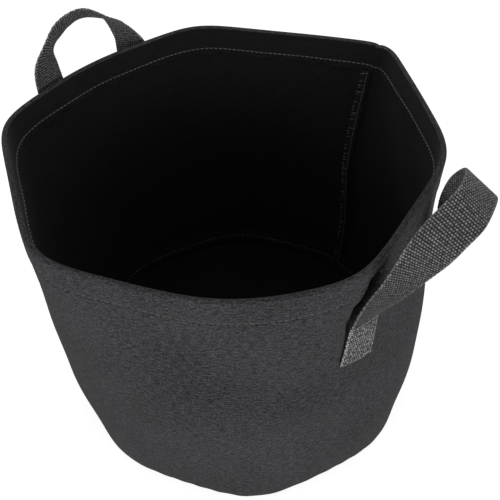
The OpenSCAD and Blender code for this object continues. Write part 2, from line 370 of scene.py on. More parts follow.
def grid_faces(rows, columns, loop_rows=False, loop_columns=False):
    """Quads of a grid, and each corner's row and column before any wrapping."""
    i, j = np.meshgrid(np.arange(rows if loop_rows else rows - 1),
                       np.arange(columns if loop_columns else columns - 1), indexing="ij")
    i, j = i.ravel(), j.ravel()
    corner_rows = np.stack([i, i, i + 1, i + 1], 1)
    corner_columns = np.stack([j, j + 1, j + 1, j], 1)
    return (corner_rows % rows) * columns + corner_columns % columns, corner_rows, corner_columns


def join(pieces, name):
    """Joins objects into the first of them."""
    with bpy.context.temp_override(active_object=pieces[0], selected_editable_objects=pieces):
        bpy.ops.object.join()
    pieces[0].name = name
    return pieces[0]


# %% [markdown]
# ## Sums with shader nodes
# A material's numbers come from nodes, and a sum of them takes many nodes. A wire here is one
# output of a node, and Python's own + - * / ** are taught to make the Math node that they stand
# for. So a pattern can be written down as one formula.

# %% Helpers for shader nodes
class Wire:
    """One output of a shader node, which can be used in sums like a number."""

    def __init__(self, node, output=0):
        self.tree = node.id_data
        self.socket = node.outputs[output]


def plug(socket, value):
    """Sets an input to a number or colour, or links a wire into it."""
    if isinstance(value, Wire):
        value.tree.links.new(value.socket, socket)
    else:
        socket.default_value = value


def calc(operation, *values):
    """A Math node; each value is a number or a wire."""
    tree = next(value.tree for value in values if isinstance(value, Wire))
    node = tree.nodes.new("ShaderNodeMath")
    node.operation = operation
    for socket, value in zip(node.inputs, values):
        plug(socket, value)
    return Wire(node)


# Python calls __add__ for wire + 1, and __radd__ for 1 + wire.
for sign, work in (("add", "ADD"), ("sub", "SUBTRACT"), ("mul", "MULTIPLY"), ("truediv", "DIVIDE"),
                   ("pow", "POWER")):
    setattr(Wire, f"__{sign}__", lambda self, other, work=work: calc(work, self, other))
    setattr(Wire, f"__r{sign}__", lambda self, other, work=work: calc(work, other, self))


def set_up(node, **given):
    """Sets a node's properties and its inputs by name; an underscore stands for a space."""
    for key, value in given.items():
        if hasattr(node, key):
            setattr(node, key, value)
        else:
            plug(node.inputs[key.replace("_", " ")], value)
    return node


def add(tree, kind, **given):
    """Adds a node and sets it up."""
    return set_up(tree.nodes.new("ShaderNode" + kind), **given)


def noise(at, scale, detail, rough=0.5):
    """A cloudy pattern at some coordinates, with this many spots to a metre."""
    return Wire(add(at.tree, "TexNoise", Vector=at, Scale=scale, Detail=detail, Roughness=rough))


def ramp(value, low, high, bottom=0.0, top=1.0):
    """Stretches low..high to bottom..top, and stops at both ends."""
    return Wire(add(value.tree, "MapRange", Value=value, From_Min=low, From_Max=high,
                    To_Min=bottom, To_Max=top))


def split(vector):
    """The X, Y and Z of coordinates."""
    node = add(vector.tree, "SeparateXYZ", Vector=vector)
    return [Wire(node, axis) for axis in range(3)]


def mixed(share, low, high):
    """A colour between two others."""
    node = add(share.tree, "Mix", data_type="RGBA", Factor=share)
    node.inputs[6].default_value, node.inputs[7].default_value = (*low, 1), (*high, 1)
    return Wire(node, 2)


def relief(height, strength, depth):
    """A normal for small bumps, which are at most this deep in metres."""
    return Wire(add(height.tree, "Bump", Height=height, Strength=strength, Distance=depth))


def stored(tree, title):
    """A number that mark_points has stored on the mesh."""
    return Wire(add(tree, "Attribute", attribute_name=title), "Fac")


def new_group(name, inputs, outputs):
    """An empty group that reads the cloth coordinates and numbers, and puts out numbers."""
    group = bpy.data.node_groups.new(name, "ShaderNodeTree")
    new_socket = group.interface.new_socket
    new_socket("Cloth", in_out="INPUT", socket_type="NodeSocketVector")
    for title, default in inputs.items():
        new_socket(title, in_out="INPUT", socket_type="NodeSocketFloat").default_value = default
    for title in outputs:
        new_socket(title, in_out="OUTPUT", socket_type="NodeSocketFloat")
    given = group.nodes.new("NodeGroupInput")
    wires = [Wire(given, title) for title in ("Cloth", *inputs)]
    return group, wires, group.nodes.new("NodeGroupOutput")


def new_material(name, **values):
    """A material, its shader with these plain values, and the cloth coordinates."""
    material = bpy.data.materials.new(name)
    material.use_nodes = True
    tree = material.node_tree
    shader = set_up(tree.nodes["Principled BSDF"], **values)
    return material, tree, shader, Wire(add(tree, "UVMap", uv_map="cloth"))


# %% [markdown]
# ## Finishes shared by every cloth
# Two effects come back in more than one material, so each is a shader node group: fibres, the fine
# streaks of a needled felt, and cloth dust, the slow change of shade that any black cloth has.
# Both read the cloth coordinates, and both give out only masks and heights, never a shader.
#
# Needled felt is a mat of fibres that lie mostly along the roll it came off. Noise that is
# stretched several times along the cloth looks like a bundle of such fibres; a second noise bends
# the coordinates a little, so that the streaks wander. A third one, with no direction, is the fuzz
# of the fibres that stand up between the others.

# %% Node group: felt fibres
def make_fibres():
    group, (cloth, length, thickness, wander), result = new_group(
        "felt_fibres", {"Length": 0.009, "Thickness": 0.0009, "Wander": 0.004},
        ("Streaks", "Fuzz", "Height"))
    x, y, z = split(cloth)
    level = y + (noise(cloth, 38.0, 2.0) - 0.5) * wander
    lanes = Wire(add(group, "CombineXYZ", X=x / length, Y=level / thickness, Z=z))
    coarse = noise(lanes, 1.0, 3.0, 0.6)
    fine = noise(cloth, 760.0, 3.0, 0.8)
    set_up(result, Streaks=ramp(coarse, 0.43, 0.62), Fuzz=ramp(fine, 0.43, 0.6),
           Height=coarse * 0.65 + fine * 0.35)
    return group


fibres = make_fibres()
print("group:", fibres.name, [s.name for s in fibres.interface.items_tree])

# %% [markdown]
# Black cloth is never one black. It fades a little where it has been handled and holds dust in
# places. This group gives a slow cloud, with a few small specks in it.

# %% Node group: cloth dust
def make_dust():
    group, (cloth, cloud_size, speck_size), result = new_group(
        "cloth_dust", {"Cloud Size": 0.05, "Speck Size": 0.0016}, ("Cloud", "Specks"))
    set_up(result, Cloud=ramp(noise(cloth, 1.0 / cloud_size, 4.0), 0.3, 0.7),
           Specks=ramp(noise(cloth, 1.0 / speck_size, 1.0), 0.64, 0.72))
    return group


dust = make_dust()
print("group:", dust.name, [s.name for s in dust.interface.items_tree])

# %% [markdown]
# ## The felt
# The felt is charcoal. A second, darker copy of it is laid inside the bag, on the base and on the
# seams: a painted shade, since the same felt lies in shadow there. Its colour goes from the dark
# between the fibres to the grey of the fibres that lie on top. It has no gloss at all, but its fuzz
# catches light at the rim of every curve: that is what Sheen is for. Where the wall folds beside
# the nearest foot the colour is darkened too, a painted shade for the shadow in the fold. Sheen and
# roughness are the same everywhere, so they are plain numbers on the shader.

# %% Material: needled felt
def make_felt(name, dark, light, length, thickness, bump):
    material, tree, shader, cloth = new_material(
        name, Roughness=0.95, Specular_IOR_Level=0.15, Sheen_Weight=0.04, Sheen_Roughness=0.5)
    fibre = add(tree, "Group", node_tree=fibres, Cloth=cloth, Length=length, Thickness=thickness)
    cloud = add(tree, "Group", node_tree=dust, Cloth=cloth, Cloud_Size=0.06, Speck_Size=0.0014)
    amount = (Wire(fibre, "Streaks") * 0.38 + Wire(fibre, "Fuzz") * 0.46
              + Wire(cloud, "Cloud") * 0.16 + Wire(cloud, "Specks") * 0.5)
    # Painted shade: the colour is darkened in the fold beside the nearest foot.
    amount = amount * (1.0 - stored(tree, "painted_fold_shade") * 0.95)
    set_up(shader, Base_Color=mixed(amount, dark, light),
           Normal=relief(Wire(fibre, "Height"), bump, 0.0008))
    return material


# The second felt is a darker copy, a painted shade for the felt inside the bag.
felt_outside = make_felt("felt", (0.005, 0.005, 0.0056), (0.126, 0.126, 0.1345), 0.005, 0.0012, 1.0)
felt_painted_shade = make_felt("felt_painted_shade", (0.006, 0.006, 0.0066), (0.021, 0.021, 0.0222),
                        0.009, 0.0009, 0.7)
print("materials:", felt_outside.name, felt_painted_shade.name)

# %% [markdown]
# ## The webbing
# The handles are heavy woven webbing. Strong yarns run along it and thin ones cross it, over one
# and under the next, so the face is a brick pattern of small bumps about 2 mm long. The tops of
# the bumps are painted light, a painted highlight where they catch the lamps, and they are a
# little glossier; the gaps are the yarn's black, darkened further as painted shade. Low down
# beside the feet the painted highlight is dimmed, a painted shade. Along both woven edges, where
# the cross yarns turn back, the colour is painted lighter, a painted highlight. The same rule
# gives the bumps here in the shader and, further down, in the mesh itself: rows across, each
# shifted by one yarn.

# %% Node group: the weave of the webbing
WEB_WIDTH = 25.4
RIB = 0.83
PICK = 1.82
half_width = WEB_WIDTH / 2


def make_weave():
    group, (cloth, rib, pick), result = new_group(
        "webbing_weave", {"Rib": RIB * MM, "Pick": PICK * MM}, ("Bumps", "Yarns", "Height"))
    x, y, _ = split(cloth)
    ribs, picks = x / rib, y / pick
    yarn = calc("COSINE", (ribs + calc("FLOOR", picks)) * math.pi) * 0.5 + 0.5
    row = calc("ABSOLUTE", calc("SINE", picks * math.pi)) ** 2.0
    bumps = row * (yarn ** 2.0 * 0.8 + 0.2)
    yarns = noise(Wire(add(group, "CombineXYZ", X=ribs * 6.0, Y=picks * 1.3)), 1.0, 2.0)
    set_up(result, Bumps=bumps, Yarns=yarns, Height=bumps * 0.8 + yarns * 0.2)
    return group


weave = make_weave()
print("weave:", RIB, "mm across and", PICK, "mm along")

# %% Material: webbing
def make_webbing(name, gap, bump, polish_and_painted_shade, speckle):
    material, tree, shader, cloth = new_material(name, Specular_IOR_Level=0.4, Sheen_Weight=0.05)
    woven = add(tree, "Group", node_tree=weave, Cloth=cloth)
    cloud = add(tree, "Group", node_tree=dust, Cloth=cloth, Cloud_Size=0.02, Speck_Size=0.001)
    bumps = Wire(woven, "Bumps")
    uneven = ramp(noise(cloth, 470.0, 1.0), 0.36, 0.64, 1 - speckle, 1 + speckle)
    # Painted highlight: both woven edges of the webbing are painted lighter.
    off_middle = calc("ABSOLUTE", split(cloth)[0] - half_width * MM)
    painted_edge_highlight = ramp(off_middle, (half_width - 1.4) * MM, (half_width - 0.5) * MM)
    # Painted highlight on the bump tops, dimmed near the feet as painted shade, plus the edge
    # highlight.
    shine = (bumps * (Wire(woven, "Yarns") + 0.35) * (Wire(cloud, "Cloud") * 0.4 + 0.8)
             * uneven * stored(tree, "painted_shade_near_feet") + painted_edge_highlight * (uneven * 0.2))
    set_up(shader, Base_Color=mixed(shine, gap, bump), Roughness=ramp(bumps, 0, 1, 0.85, polish_and_painted_shade),
           Normal=relief(Wire(woven, "Height"), 0.5, 0.0004))
    return material


# The bump colour is a painted highlight; the gap colour is the yarn's black, darkened as painted
# shade.
webbing = make_webbing("webbing", (0.003, 0.003, 0.0032), (0.47, 0.47, 0.485), 0.5, 0.6)
webbing_pressed = make_webbing("webbing_pressed", (0.004, 0.004, 0.0043), (0.8, 0.8, 0.82),
                               0.55, 0.75)
print("materials:", webbing.name, webbing_pressed.name)

# %% [markdown]
# ## The sewing thread
# Thread is two or three yarns twisted together. Slanted stripes across its cloth coordinates show
# the twist. It is a shade lighter than the felt, so a row of stitches reads as a faint dashed
# line. The thread inside the bag is paler.

# %% Material: sewing thread
def make_thread(name, dark, light):
    material, tree, shader, cloth = new_material(name, Roughness=0.6)
    x, y, _ = split(cloth)
    twist = calc("SINE", x * 2500.0 + y * 6000.0) * 0.5 + 0.5
    set_up(shader, Base_Color=mixed(twist, dark, light), Normal=relief(twist, 0.5, 0.0002))
    return material


thread = make_thread("sewing_thread", (0.05, 0.05, 0.052), (0.17, 0.17, 0.175))
thread_pale = make_thread("sewing_thread_pale", (0.04, 0.04, 0.041), (0.26, 0.26, 0.265))
print("materials:", thread.name, thread_pale.name)

# %% [markdown]
# ## The wall and its hem
# On the real bag the wall and the hem are one piece of felt: it comes up from the base seam, folds
# over at the rim and runs down inside to a cut edge. So one mesh makes both. Its profile is a list
# of heights and depths below the outer face: up the outside, around a plump fold, down the hem,
# around the cut edge, and down the inside. Swept along the grid, that profile becomes the bag.

# %% The profile of the wall
FOLD = 4.4
fold_angle = np.radians(np.linspace(0, 180, 15))
fold_z = HEIGHT - FOLD / 2 + FOLD / 2 * np.sin(fold_angle)
fold_depth = FOLD / 2 - FOLD / 2 * np.cos(fold_angle)
cut_z = HEIGHT - HEM_DEPTH
up_z = height_of[height_of < HEIGHT - FOLD / 2 - 1]
hem_z = np.linspace(HEIGHT - FOLD / 2 - 2, cut_z + 0.8, 10)
down_z = up_z[up_z < cut_z - 1][::-1]
cut_edge_z = [cut_z + 0.2, cut_z, cut_z + 0.3, cut_z - 0.6]
cut_edge_depth = [FOLD - 0.5, FOLD - 1.3, FELT + 0.35, FELT]
profile_z = np.concatenate([up_z, fold_z, hem_z, cut_edge_z, down_z])
profile_depth = np.concatenate([np.zeros(len(up_z)), fold_depth, np.full(len(hem_z), FOLD),
                                cut_edge_depth, np.full(len(down_z), FELT)])
first_hem = len(up_z) + len(fold_z)
first_cut = first_hem + len(hem_z)
print("profile of", len(profile_z), "points, its cut edge at", cut_z, "mm")

# %% Make the wall
turn = np.radians(ring_at)
loose = 0.5 * np.cos(turn * 23) + 0.5 * np.cos(turn * 41 + 1)
ragged = 0.5 * np.cos(turn * 61) + 0.4 * np.cos(turn * 149 + 2)
open_edge, cut_rows = np.zeros((2, len(profile_z), 1))
open_edge[first_hem:first_cut, 0] = 1.8 * (1 - rise(cut_z - 1, cut_z + 5, hem_z))
open_edge[first_cut:first_cut + 2] = 1.8
cut_rows[first_cut - 1:first_cut + 2] = 1
wall_z = profile_z[:, None] + cut_rows * ragged
wall_depth = profile_depth[:, None] + open_edge * (loose + 0.8)
wall_points, _ = on_wall(ring_at, wall_z, -wall_depth)
rows, columns = wall_points.shape[:2]
faces, corner_rows, corner_columns = grid_faces(rows, columns, loop_rows=True, loop_columns=True)
along_rim = run_of(outer_felt[0][70])
up_cloth = run_of(wall_points[:, 100])
up_cloth = np.append(up_cloth, up_cloth[-1] + FELT)
cloth = np.stack([along_rim[corner_columns], up_cloth[corner_rows]], -1)
wall = mesh_of("wall", wall_points, faces.tolist(), cloth, felt_outside, felt_painted_shade)
# The fold's painted shade, stored on the wall for the felt's colour to read.
mark_points(wall, "painted_fold_shade", fold_shape(ring_at, wall_z)[1])
# Faces inside the bag, the hem included, get the darker felt: a painted shade.
inside = corner_rows[:, 0] >= first_hem - 3
wall.data.polygons.foreach_set("material_index", inside.astype(int).tolist())
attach(wall, "bag")
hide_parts("side_wall", "rim_hem")

# %% [markdown]
# ## The base
# The base is a round of the same felt. It lies flat on the ground and turns up at its edge to meet
# the wall, where the two are sewn. Rings of points from the middle outwards make it, one sheet
# below and one above; the upper one is allowed the small swells that a felt floor has. The middle
# of each sheet is still open then, and a fan of triangles around one point closes it.

# %% Make the base
SWELL = 0.9
ring_share = np.linspace(0.01, 1, 34)[:, None]
turn_up = np.radians(np.linspace(0, 45, 9))[1:, None]


def base_sheet(depth, swell):
    """Rings of the base at a depth inside its outer face, from the middle to the base seam."""
    flat = (wall_radius(ring_at, 0.0) - EDGE_ROUND) * ring_share
    waves = 0.5 + 0.5 * np.cos(flat / 17 + 3 * np.cos(2 * turn))
    lift = depth + swell * waves * np.sin(np.pi * ring_share) ** 0.5
    middle = np.stack(np.broadcast_arrays(flat * np.cos(turn), flat * np.sin(turn), lift), -1)
    inset = EDGE_ROUND - (EDGE_ROUND - depth) * np.sin(turn_up)
    z = EDGE_ROUND - (EDGE_ROUND - depth) * np.cos(turn_up)
    return np.concatenate([middle, shell_point(ring_at, inset, z)])


under, above = base_sheet(0.0, 0.0), base_sheet(FELT, SWELL)
under[-1] = under[-1] * 0.7 + above[-1] * 0.3
base_grid = np.concatenate([under, above[::-1]])
rows, columns = base_grid.shape[:2]
faces, _, _ = grid_faces(rows, columns, loop_columns=True)
middles = base_grid[[0, -1]].mean(axis=1)
base_points = np.concatenate([base_grid.reshape(-1, 3), middles])
fans = [[first + k, first + (k + 1) % columns, middle]
        for first, middle in ((0, -2), ((rows - 1) * columns, -1)) for k in range(columns)]
fans = np.array(fans) % len(base_points)
cloth = base_points[np.concatenate([faces.ravel(), fans.ravel()]), :2]
# The base gets the darker felt: a painted shade.
base = mesh_of("base", base_points, faces.tolist() + fans.tolist(), cloth, felt_painted_shade)
face_outwards(base)
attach(base, "bag")
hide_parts("base_panel")

# %% [markdown]
# ## The seams inside
# Where two pieces of felt are sewn together, their edges turn into the bag. Around the base they
# make a low rim against the wall. Down the side they make a flap, two layers thick, which lies
# over to one side, wavers, and stands off the wall here and there. Both are strips with a rounded
# edge, so one helper sweeps a strip between a root line on the wall and a free edge.

# %% A helper that sweeps a strip of felt
def strip(name, root, out, thick, width, loop=False):
    """A flap: from root points along out (unit vectors) for width, with thickness along thick."""
    across = np.concatenate([np.linspace(0, 1, 6), [1.03, 1.03], np.linspace(1, 0, 6)])
    level = np.concatenate([np.full(6, 1.0), [0.72, 0.28], np.zeros(6)])
    points = (root[:, None] + out[:, None] * (width[:, None] * across)[..., None]
              + thick[:, None] * level[:, None])
    rows, columns = points.shape[:2]
    faces, corner_rows, corner_columns = grid_faces(rows, columns, loop, True)
    length, across_cloth = run_of(root), run_of(points[0])
    length = np.append(length, length[-1] + loop * np.linalg.norm(root[0] - root[-1]))
    across_cloth = np.append(across_cloth, across_cloth[-1] + 2)
    faces = faces.tolist()
    cloth = np.stack([length[corner_rows], across_cloth[corner_columns]], -1).reshape(-1, 2)
    if not loop:
        numbers = np.arange(rows * columns).reshape(rows, columns)
        for end in (numbers[0, ::-1], numbers[-1]):
            faces.append(end.tolist())
            cloth = np.concatenate([cloth, points.reshape(-1, 3)[end][:, :2]])
    # Seam strips get the darker felt: a painted shade.
    piece = mesh_of(name, points, faces, cloth, felt_painted_shade)
    face_outwards(piece)
    return piece


# %% The flap of the side seam
FLAP_THICK = 3.8
BEHIND_FELT = -(FELT + 0.1)
flap_z = np.linspace(cut_z - 0.5, 19, 120)
waver = np.sin(flap_z / 9) * 0.6 + np.sin(flap_z / 23 + 1) * 0.8
flap_root, flap_normal = on_wall(SEAM_AT + 0.15, flap_z, BEHIND_FELT)
beside, _ = on_wall(SEAM_AT + 4.0, flap_z, BEHIND_FELT)
standing = np.radians(9 + 7 * np.sin(flap_z / 31 + 0.6) + 4 * np.sin(flap_z / 11))[:, None]
flap_out = unit(unit(beside - flap_root) * np.cos(standing) - flap_normal * np.sin(standing))
flap_width = 8.6 + 0.5 * waver
side_flap = strip("side_seam_flap", flap_root, flap_out, -flap_normal * FLAP_THICK, flap_width)
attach(side_flap, "bag")
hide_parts("side_seam")
print("side seam flap", round(float(flap_width.mean()), 1), "mm wide")

# %% The rim of the base seam
RIM_THICK = 2.8
RIM_LOW, RIM_HIGH = 9.3, 20.0
rim_at = directions[:-1:2]
rim_root, rim_normal = on_wall(rim_at, RIM_LOW, BEHIND_FELT)
rim_top, _ = on_wall(rim_at, RIM_HIGH + 0.8 * np.sin(np.radians(rim_at) * 29), BEHIND_FELT)
rim_width = np.linalg.norm(rim_top - rim_root, axis=1)
base_rim = strip("base_seam_rim", rim_root, unit(rim_top - rim_root), -rim_normal * RIM_THICK,
                 rim_width, loop=True)
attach(base_rim, "bag")
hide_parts("base_seam")
print("base seam rim", round(float(rim_width.mean()), 1), "mm high")

# %% [markdown]
# ## Stitches
# A stitch is a short bar of thread that comes up out of the cloth, runs along it and goes down
# again. Given a line along the cloth and the cloth's normals, the helper lays one such bar every
# few millimetres, with a gap where the thread is below. All stitches of one row are one mesh.

# %% A helper that sews
SIDES = 6
BENDS = 7
THREAD = 0.95
DIP = 0.35


def point_at(at, run, values):
    """The values of a line at some distances along it."""
    return np.stack([np.interp(at, run, values[:, k]) for k in range(values.shape[1])], -1)


def sew(name, line, normals, pitch, cover=0.78, wide=THREAD, height=0.45, material=thread):
    """Stitches along a line of points (mm) on cloth with the given normals."""
    run = run_of(line)
    count = max(1, int(run[-1] // pitch))
    pitch = run[-1] / count
    share = np.linspace(0, 1, BENDS)
    at = (np.arange(count)[:, None] + 0.5 + (share - 0.5) * cover) * pitch
    centre, normal = point_at(at, run, line), unit(point_at(at, run, normals))
    side = np.cross(unit(np.gradient(centre, axis=1)), normal)
    arch = np.sin(np.pi * share) ** 0.5
    centre = centre + normal * ((arch * (height + DIP) - DIP) * wide)[:, None]
    radius = wide / 2 * (0.75 + 0.25 * np.sin(np.pi * share))
    angle = np.linspace(0, 2 * np.pi, SIDES, endpoint=False)[:, None]
    ring = side[:, :, None] * np.cos(angle) + normal[:, :, None] * np.sin(angle)
    points = centre[:, :, None] + ring * radius[:, None, None]
    one, corner_rows, corner_columns = grid_faces(BENDS, SIDES, loop_columns=True)
    caps = np.arange(SIDES), np.arange(BENDS * SIDES)[:-SIDES - 1:-1]
    one_cloth = np.stack([corner_columns * (wide * np.pi / SIDES),
                          corner_rows * (pitch * cover / (BENDS - 1))], -1)
    faces, cloth = [], []
    for first in range(0, count * BENDS * SIDES, BENDS * SIDES):
        faces += (one[:, ::-1] + first).tolist() + [(cap + first).tolist() for cap in caps]
        cloth += [one_cloth[:, ::-1].reshape(-1, 2), np.zeros((2 * SIDES, 2))]
    return mesh_of(name, points, faces, np.concatenate(cloth), material), count


# %% Sew the hem, outside and inside
HEM_PITCH = 3.9
hem_at = np.linspace(SEAM_AT, SEAM_AT + 360, 1441)
hem_line, hem_normal = on_wall(hem_at, HEIGHT - STITCH_DROP)
hem_outside, count = sew("hem_stitches", hem_line, hem_normal, HEM_PITCH, height=0.3)
inner_line, _ = on_wall(hem_at, HEIGHT - STITCH_DROP, -(FOLD + 0.25))
hem_inside, _ = sew("hem_stitches_inside", inner_line, -hem_normal, HEM_PITCH, material=thread_pale)
hem_stitches = join([hem_outside, hem_inside], "hem_stitches")
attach(hem_stitches, "bag")
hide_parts("hem_stitching")
print(count, "stitches around the hem, each way")

# %% Sew the base seam
BASE_PITCH = 4.2
BASE_ROW = 15.6
line, normals = on_wall(np.linspace(SEAM_AT, SEAM_AT + 360, 1081), BASE_ROW,
                        BEHIND_FELT - RIM_THICK)
base_stitches, count = sew("base_seam_stitches", line, -normals, BASE_PITCH)
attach(base_stitches, "bag")
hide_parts("base_seam_thread")
print(count, "stitches around the base")

# %% [markdown]
# ## The handles
# Each handle is one length of webbing. Its two ends are sewn flat on the wall, and the rest stands
# up from the wall, leans and twists as stiff webbing does. The path of its middle line is a table:
# how far out from the fold at the foot, how far along the bag, how far up, and which way the width
# of the webbing points there. The nearest foot is folded along a slanting crease.

# %% The paths of the two handles
FOLD_HEIGHT = 206.0
WEB_THICK = 1.6
FOOT_LENGTH = 33.0
FOOT_END = 34.5
FOOT_TOP = 204.6
NEAR = dict(
    side=1, fold_x=137.4, feet=((-35.0, 8.0), (50.0, -6.0)), creases=(18.0, -6.0),
    rows=[[-3.4, -35.4, -1, 0.12, 0.95, -0.3], [-0.6, -32.8, 8.6, 0.27, 0.92, -0.34],
          [4.1, -29.5, 20.2, 0.42, 0.82, -0.4], [9.1, -26.3, 33.1, 0.53, 0.76, -0.37],
          [13.7, -22.8, 47, 0.7, 0.63, -0.33], [21, -13.6, 71.6, 0.98, 0.12, -0.15],
          [25.1, 5.3, 83.4, 0.82, -0.03, -0.57], [17.6, 31.1, 79.1, 0.89, 0.07, -0.44],
          [5.4, 44.9, 56, 0.97, -0.1, -0.21], [-4.4, 48.5, 26, 0.7, -0.65, -0.4],
          [-9.8, 50, 0, 0.115, -1, 0]])
FAR = dict(
    side=-1, fold_x=-160.3, feet=((-39.0, 0.0), (43.5, 0.0)), creases=(0.0, 0.0),
    rows=[[0, -39, 0, -0.036, 1, 0], [0, -39, 32, 0.03, 1, -0.04],
          [0.1, -39, 58.6, 0.28, 0.93, 0.23], [0.6, -28.8, 74.2, 0.53, 0.28, -0.8],
          [1.1, -16.5, 80.6, 0.56, 0.35, -0.75], [1.2, -5.9, 81.9, 0.66, -0.14, -0.74],
          [1.2, 4.3, 79.1, 0.87, -0.22, -0.45], [1.9, 13.7, 74.3, 0.96, -0.25, -0.15],
          [5.5, 25, 67.5, 0.96, -0.29, 0.01], [7.5, 33.6, 60.7, 0.99, -0.05, -0.12],
          [5.2, 41, 47.4, 0.9, -0.2, -0.36], [3, 44, 36.6, 0.78, -0.6, 0],
          [-1.2, 43.5, 16, 0.1, -1, 0], [-3, 43.5, 0, 0.036, -1, 0]])


def through(rows, steps):
    """A smooth curve through every row of a table (a Catmull-Rom spline)."""
    rows = np.asarray(rows, float)
    padded = np.vstack([2 * rows[0] - rows[1], rows, 2 * rows[-1] - rows[-2]])
    t = np.arange(steps)[:, None] / steps
    curve = [0.5 * (2 * b + (c - a) * t + (2 * a - 5 * b + 4 * c - d) * t * t
                    + (3 * b - a - 3 * c + d) * t ** 3)
             for a, b, c, d in zip(padded, padded[1:], padded[2:], padded[3:])]
    return np.vstack(curve + [rows[-1:]])


print("rows in the tables:", len(NEAR["rows"]), "and", len(FAR["rows"]))

# %% [markdown]
# The felt under a foot is pressed flat by the webbing, so a foot doesn't dip into the valley beside
# it. A second copy of the wall's grid, without the valley, says where the webbing lies.

# %% The felt as the feet press it
WEB_LIFT = 0.75
pressed_felt = felt_grid(give(*grid_at) + valley_depth(*grid_at))


def on_pressed(side, y, z, lift):
    """Points on the pressed wall with the given Y and height."""
    return on_wall(direction_at(side, y, z), z, lift, pressed_felt)


def foot_place(handle, which, across, down):
    """Y and height of a place on a foot: across it from its middle, and down from its top."""
    y0, lean = handle["feet"][which]
    lean = math.radians(lean)
    top = FOOT_TOP - half_width * abs(math.sin(lean))
    return (y0 + across * math.cos(lean) - down * math.sin(lean),
            top - across * math.sin(lean) - down * math.cos(lean))


print("pressing lifts the felt by up to", round(float(valley_depth(*grid_at).max()), 1), "mm")

# %% [markdown]
# A strap is built in three steps. First the rows of its two feet are added to the rows of its
# path. A last number says how far a row is pressed on the wall: 1 on a foot, 0 on the path. The
# whole line is smoothed with a bell-shaped average, because webbing has no kinks.
# Then each row of points is laid straight across the line, and the rows of the feet are pressed on
# the wall. Last, both faces are raised by half the thickness, thinning to the woven edge, and every
# yarn that comes to the top gets its own bump.

# %% The middle line of a strap
SPACING = 0.4
SOFTNESS = 1.8
FOOT_ROWS = (FOOT_END, 28.0, 21.0, 14.0, 7.0, 1.0)
CREASE_END = 24


def bell_smooth(values):
    """Averages rows of values with a bell curve, keeping both ends where they are."""
    reach = int(4 * SOFTNESS / SPACING)
    kernel = np.exp(-0.5 * (np.arange(-reach, reach + 1) * SPACING / SOFTNESS) ** 2)
    kernel /= kernel.sum()
    first = 2 * values[0] - values[1:reach + 1][::-1]
    last = 2 * values[-1] - values[-reach - 1:-1][::-1]
    padded = np.vstack([first, values, last])
    return np.stack([np.convolve(column, kernel, "valid") for column in padded.T], -1)


def strap_rows(handle):
    """Centre, width direction and share pressed on the wall, every fraction of a millimetre."""
    side, feet = handle["side"], []
    for which, over in ((0, 1), (1, -1)):
        lean = math.radians(handle["feet"][which][1])
        crease = math.radians(handle["creases"][which])
        foot = []
        for down in FOOT_ROWS:
            y, z = foot_place(handle, which, 0.0, down)
            at, _ = on_pressed(side, np.array(y), np.array(z), WEB_LIFT)
            tilt = crease + (lean - crease) * min(1, down / CREASE_END)
            foot.append([side * (at[0] - handle["fold_x"]), at[1], at[2] - FOLD_HEIGHT,
                         0, over * math.cos(tilt), -over * math.sin(tilt), 1])
        feet.append(foot)
    path = np.pad(through(handle["rows"], 5), ((0, 0), (0, 1)))
    table = np.vstack([feet[0], path, feet[1][::-1]])
    table[:, 3:6] = unit(table[:, 3:6])
    run = run_of(table[:, :3])
    at = np.linspace(0, run[-1], int(run[-1] / SPACING) + 1)
    fine = bell_smooth(point_at(at, run, table))
    return fine, run_of(fine[:, :3])


# %% Weave a strap around its middle line
RELIEF = 0.5
# How much of the painted highlight is kept on a foot and just above it: a painted shade near the
# feet.
FOOT_PAINTED_SHADE, LOW_PAINTED_SHADE = 0.95, 0.46
edge_at = np.array([12.2, 12.5, 12.66, 12.7])
across_at = np.concatenate([-edge_at[::-1], np.linspace(-11.9, 11.9, 96), edge_at])
edge_share = np.clip(1 - np.abs(across_at / half_width) ** 26, 0, 1) ** 0.5


def weave_bumps(across, along):
    """Height of the weave from 0 to 1, by the same rule as in the shader."""
    yarn = 0.5 + 0.5 * np.cos(np.pi * (across / RIB + np.floor(along / PICK)))
    return np.sin(np.pi * along / PICK) ** 2 * (0.2 + 0.8 * yarn ** 2)


